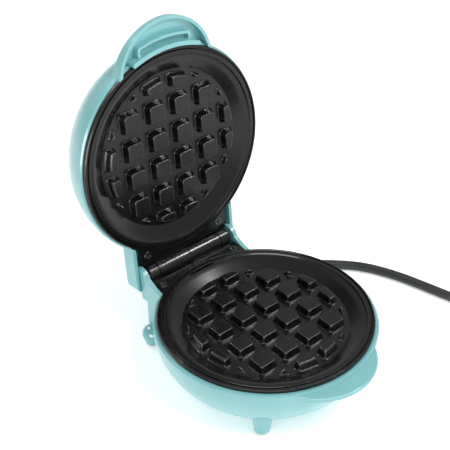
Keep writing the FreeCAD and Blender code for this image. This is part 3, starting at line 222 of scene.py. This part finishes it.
slotOf = {part["node"]: part["material_slot"] for part in frame["record"]["subparts"]}
bodies = frame["record"]["behaviour"]["bodies"]
bodyOf = {node: body for body, members in bodies.items() for node in members}
for name, node in nodes.items():
    node.data.materials.clear()
    node.data.materials.append(finishes[slotOf[name]])
print("materials made:", len([*finishes.values(), darkScrew, pegCoating]))


# small radii on the moulded, cast and turned nodes, in metres

edges = {
    "lower_housing": {"width": 0.0006, "steps": 3},
    "upper_housing": {"width": 0.0006, "steps": 3},
    "lower_plate": {"width": 0.00025, "steps": 2},
    "upper_plate": {"width": 0.00025, "steps": 2},
    "lower_tongue_screws": {"width": 0.0002, "steps": 2, "finish": darkScrew},
    "upper_tongue_screws": {"width": 0.0002, "steps": 2, "finish": darkScrew},
    "foot_pads": {"width": 0.0005, "steps": 3},
    "indicator_lens": {"width": 0.0009, "steps": 5},
    "strain_relief": {"width": 0.0002, "steps": 2},
    "plug_body": {"width": 0.0004, "steps": 3},
    "plug_pins": {"width": 0.0006, "steps": 4},
    "hinge_pin": {"width": 0.0003, "steps": 3},
}
crispAngle = math.radians(24)  # edges steeper than this are rounded, the rest is smooth
flatAngle = math.radians(0.05)  # faces flatter to each other than this become one
weldGap = 0.000004  # corners nearer than this become one, in metres


def sharpen(mesh):
    # faces are smooth, and steep edges stay crisp
    for face in mesh.faces:
        face.smooth = True
    for edge in mesh.edges:
        edge.smooth = len(edge.link_faces) != 2 or edge.calc_face_angle() < crispAngle


def fitted(piece, name):
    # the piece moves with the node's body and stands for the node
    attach(piece, bodyOf[name])
    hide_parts(name)


def softened(name, width, steps, finish=None, clear=None):
    piece = bpy.data.objects.new(name + "Soft", nodes[name].data.copy())
    collection.objects.link(piece)
    mesh = bmesh.new()
    mesh.from_mesh(piece.data)
    bmesh.ops.remove_doubles(mesh, verts=mesh.verts, dist=weldGap)
    if clear:
        bmesh.ops.delete(mesh, geom=[face for face in mesh.faces if clear(face)], context="FACES")
    bmesh.ops.dissolve_limit(mesh, angle_limit=flatAngle, verts=mesh.verts, edges=mesh.edges)
    sharpen(mesh)
    mesh.to_mesh(piece.data)
    mesh.free()
    bevel = piece.modifiers.new("softEdges", "BEVEL")
    bevel.width = width
    bevel.segments = steps
    bevel.limit_method = "ANGLE"
    bevel.angle_limit = crispAngle
    bevel.use_clamp_overlap = True
    bevel.harden_normals = True
    if finish:
        piece.data.materials[0] = finish
    fitted(piece, name)


# the baking floor with its rounded pegs, made once and used in both plates: lengths in metres,
# topSoft and footSoft as shares of a peg's height, and lines as wall widths outward from a peg's top
pegs = {"centreY": -0.021, "pitch": 0.0169, "topHalf": 0.0049, "corner": 0.0016, "height": 0.0043,
        "wall": 0.0011, "topSoft": 0.3, "footSoft": 0.3, "fieldRadius": 0.0429, "fieldSoft": 0.0008,
        "floorRadius": 0.0455, "floor": -0.0052, "lift": 0.00002, "spacing": 0.0007, "slack": 0.0002,
        "lines": (-0.9, -0.6, -0.35, -0.15, 0, 0.2, 0.4, 0.6, 0.8, 1.0, 1.2, 1.5)}
hinge = frame["joints"][0]
hingeSpot = Vector(hinge["pos_m"])
opening = math.radians(hinge["range_deg"][1])
# each plate's middle at the parting plane, with z out of its baking side
lowerPlace = Matrix.Translation((0, pegs["centreY"], hingeSpot.z))
upperPlace = (Matrix.Translation(hingeSpot) @ Matrix.Rotation(-opening, 4, "X")
              @ Matrix.Translation(-hingeSpot) @ lowerPlace @ Matrix.Rotation(math.pi, 4, "Y"))
plates = {"lower_plate": lowerPlace, "upper_plate": upperPlace}


def softMax(one, other, reach):
    # the larger of two values, blended where they are close
    return max(one, other) + max(reach - abs(one - other), 0) ** 2 / (4 * reach)


def pegHeight(x, y):
    # distance outside the nearest peg's rounded outline, then a wall with rounded foot and top
    inner = pegs["topHalf"] - pegs["corner"]
    across = abs(x / pegs["pitch"] % 1 - 0.5) * pegs["pitch"] - inner
    along = abs(y / pegs["pitch"] % 1 - 0.5) * pegs["pitch"] - inner
    outside = math.hypot(max(across, 0), max(along, 0)) + min(max(across, along), 0) - pegs["corner"]
    outside = softMax(outside, math.hypot(x, y) - pegs["fieldRadius"], pegs["fieldSoft"])
    fall = softMax(outside / pegs["wall"], 0, pegs["topSoft"])
    return pegs["height"] * (1 + softMax(-fall, -1, pegs["footSoft"]))


def gridLines():
    # lines crowd at the walls and spread over tops and floor
    reach = math.ceil(pegs["floorRadius"] / pegs["pitch"])
    marks = {-pegs["floorRadius"], pegs["floorRadius"]}
    for peg in range(-reach, reach):
        for side in (-1, 1):
            for offset in pegs["lines"]:
                spot = (peg + 0.5) * pegs["pitch"] + side * (pegs["topHalf"] + offset * pegs["wall"])
                if abs(spot) < pegs["floorRadius"]:
                    marks.add(spot)
    marks = sorted(marks)
    lines = [marks[0]]
    for start, end in zip(marks, marks[1:]):
        parts = max(1, math.ceil((end - start) / pegs["spacing"]))
        lines += [start + (end - start) * part / parts for part in range(1, parts + 1)]
    return lines


def pegFloor():
    mesh = bmesh.new()
    lines = gridLines()
    corners = {}
    for column, x in enumerate(lines):
        for row, y in enumerate(lines):
            if math.hypot(x, y) <= pegs["floorRadius"]:
                z = pegs["floor"] + pegs["lift"] + pegHeight(x, y)
                corners[column, row] = mesh.verts.new((x, y, z))
    for column, row in corners:
        ring = [(column, row), (column + 1, row), (column + 1, row + 1), (column, row + 1)]
        found = [corners[spot] for spot in ring if spot in corners]
        if len(found) >= 3:
            mesh.faces.new(found).smooth = True
    return mesh


def addPegs(plateName, place):
    mesh = pegFloor()
    bmesh.ops.transform(mesh, matrix=place, verts=mesh.verts)
    data = bpy.data.meshes.new(plateName + "Pegs")
    mesh.to_mesh(data)
    mesh.free()
    piece = bpy.data.objects.new(plateName + "Pegs", data)
    collection.objects.link(piece)
    data.materials.append(pegCoating)
    fitted(piece, plateName)


def insideField(place):
    # finds the plain pegs' faces, so that the rounded ones stand in their place
    back = place.inverted()

    def found(face):
        spots = [back @ corner.co for corner in face.verts]
        return (max(spot.xy.length for spot in spots) < pegs["floorRadius"]
                and pegs["floor"] - pegs["slack"] < min(spot.z for spot in spots)
                and max(spot.z for spot in spots) > pegs["floor"] + pegs["slack"] / 2)
    return found


for name, edge in edges.items():
    softened(name, clear=insideField(plates[name]) if name in plates else None, **edge)
for name, place in plates.items():
    addPegs(name, place)
print("edges softened:", len(edges), "- pegs made:", len(plates))


# the mains cord: its route, coil and tail are one spline, with lengths in metres

cordSize = {"length": 0.87, "radius": 0.0029, "coilX": 0.1643, "coilY": -0.0752, "outerTurn": 0.0318,
            "innerTurn": 0.0261, "topTurn": 0.029, "topHeight": 0.0080, "turns": 3, "crossing": 0.25,
            "pointsPerTurn": 16, "roundness": 6, "smoothness": 12}
lying = cordSize["radius"]  # the height of the cord's middle where it lies on the table
cordRoute = [
    (0, 0.058, 0.0165), (0, 0.082, 0.0165), (0.009, 0.101, 0.0095), (0.028, 0.107, lying),
    (0.046, 0.096, lying), (0.055, 0.076, lying), (0.061, 0.057, lying), (0.0695, 0.041, lying),
    (0.081, 0.028, lying), (0.094, 0.017, lying), (0.1065, 0.0034, lying), (0.1152, -0.0151, lying),
    (0.1207, -0.0351, lying), (0.1252, -0.0541, lying),
]
cordTail = [(0.1353, -0.090, 0.0087), (0.1353, -0.108, 0.0087), (0.1353, -0.124, 0.00685)]


def coilPoints():
    # two turns side by side on the table, then one in the groove between them
    radii = [cordSize[turn] for turn in ("outerTurn", "innerTurn", "topTurn", "topTurn")]
    heights = (lying, lying, cordSize["topHeight"], cordSize["topHeight"])
    crossing = cordSize["crossing"]  # the share of a turn in which the cord moves to the next one
    points = []
    for index in range(cordSize["turns"] * cordSize["pointsPerTurn"]):
        turn = index / cordSize["pointsPerTurn"]
        layer = int(turn)
        ease = min(1, max(0, (turn % 1 - (1 - crossing)) / crossing))
        radius = radii[layer] + (radii[layer + 1] - radii[layer]) * ease
        height = heights[layer] + (heights[layer + 1] - heights[layer]) * ease
        angle = math.pi + math.tau * turn
        points.append((cordSize["coilX"] + radius * math.cos(angle),
                       cordSize["coilY"] + radius * math.sin(angle), height))
    return points


def cordCurve(name, points):
    curve = bpy.data.curves.new(name, "CURVE")
    curve.dimensions = "3D"
    curve.bevel_depth = cordSize["radius"]
    curve.bevel_resolution = cordSize["roundness"]
    curve.use_fill_caps = True
    spline = curve.splines.new("NURBS")
    spline.points.add(len(points) - 1)
    for point, place in zip(spline.points, points):
        point.co = (*place, 1)
    spline.order_u = 3
    spline.use_endpoint_u = True
    spline.resolution_u = cordSize["smoothness"]
    piece = bpy.data.objects.new(name, curve)
    collection.objects.link(piece)
    return piece


mainsCord = cordCurve("mainsCord", cordRoute + coilPoints() + cordTail)
mainsCord.data.materials.append(finishes["cord_black"])
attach(mainsCord, "base")
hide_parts("power_cord", "cord_coil", "plug_lead")
print("cord laid")


# floor and light: lengths in metres, lamps' power in watts

studio = {"floorGlow": 0.4, "floorReach": 4, "floorDrop": 0.0002, "world": 0.58, "aim": (0, 0, 0.07)}
floorLook = {"deep": linear(252, 252, 252), "light": linear(252, 252, 252), "roughness": 0.9,
             "uneven": 0.02, "grainStrength": 0.05}
lamps = {
    "keyLight": {"place": (0.15, -0.5, 0.8), "size": (0.4, 0.3), "power": 4.6},
    "backLight": {"place": (-0.35, 0.75, 0.75), "size": (0.4, 0.25), "power": 1.6},
    # seen only in gloss: a broad sheen on the shells, and glints on the pegs' two near edges
    "sheenLight": {"place": (-0.7, -0.6, 0.2), "size": (0.9, 0.5), "power": 14, "glossOnly": True},
    "rightGlint": {"place": (0.53, -0.21, 0.9), "size": (0.1, 0.1), "power": 4.5, "glossOnly": True},
    "leftGlint": {"place": (-0.24, 0.6, 0.82), "size": (0.1, 0.1), "power": 4.5, "glossOnly": True},
}


def studioFloor():
    reach = studio["floorReach"]
    rim = [(-reach, -reach, 0), (reach, -reach, 0), (reach, reach, 0), (-reach, reach, 0)]
    mesh = bpy.data.meshes.new("floorMesh")
    mesh.from_pydata(rim, [], [(0, 1, 2, 3)])
    floor = bpy.data.objects.new("floor", mesh)
    collection.objects.link(floor)
    floor.location.z = -studio["floorDrop"]
    material = surface("paleFloor", floorLook)
    shader = material.node_tree.nodes["Principled BSDF"]
    shader.inputs["Emission Color"].default_value = (1, 1, 1, 1)
    shader.inputs["Emission Strength"].default_value = studio["floorGlow"]
    mesh.materials.append(material)


def softBox(name, place, size, power, glossOnly=False):
    lamp = bpy.data.lights.new(name, "AREA")
    lamp.shape = "RECTANGLE"
    lamp.size, lamp.size_y = size
    lamp.energy = power
    box = bpy.data.objects.new(name, lamp)
    collection.objects.link(box)
    box.location = place
    box.rotation_mode = "QUATERNION"
    box.rotation_quaternion = (Vector(studio["aim"]) - Vector(place)).to_track_quat("-Z", "Y")
    box.visible_diffuse = not glossOnly


def studioWorld():
    world = bpy.data.worlds.new("studio")
    bpy.context.scene.world = world
    world.use_nodes = True
    background = world.node_tree.nodes["Background"]
    background.inputs["Color"].default_value = (1, 1, 1, 1)
    background.inputs["Strength"].default_value = studio["world"]


# the camera turns about a point on the lower plate: angles in degrees, lens and sensor in
# millimetres, the rest in metres
viewing = {"azimuth": -40.672, "elevation": 35.349, "lens": 86.33, "sensor": 36, "distance": 0.5922,
           "sideways": -0.02238, "upward": 0.0486, "aim": (0, -0.021, 0.0378), "near": 0.05, "far": 20}


def studioCamera():
    azimuth = math.radians(viewing["azimuth"])
    elevation = math.radians(viewing["elevation"])
    back = Vector((math.sin(azimuth) * math.cos(elevation), -math.cos(azimuth) * math.cos(elevation),
                   math.sin(elevation)))
    right = Vector((math.cos(azimuth), math.sin(azimuth), 0))
    up = back.cross(right)
    camera = bpy.data.objects.new("camera", bpy.data.cameras.new("camera"))
    collection.objects.link(camera)
    camera.data.lens = viewing["lens"]
    camera.data.sensor_width = viewing["sensor"]
    camera.data.clip_start = viewing["near"]
    camera.data.clip_end = viewing["far"]
    spot = Vector(viewing["aim"]) + back * viewing["distance"]
    camera.location = spot + right * viewing["sideways"] + up * viewing["upward"]
    camera.rotation_mode = "QUATERNION"
    camera.rotation_quaternion = Matrix((right, up, back)).transposed().to_quaternion()
    bpy.context.scene.camera = camera


studioFloor()
studioWorld()
for name, lamp in lamps.items():
    softBox(name, **lamp)
studioCamera()
bpy.context.scene.view_settings.view_transform = "Standard"
print("studio ready")

bpy.context.view_layer.update()
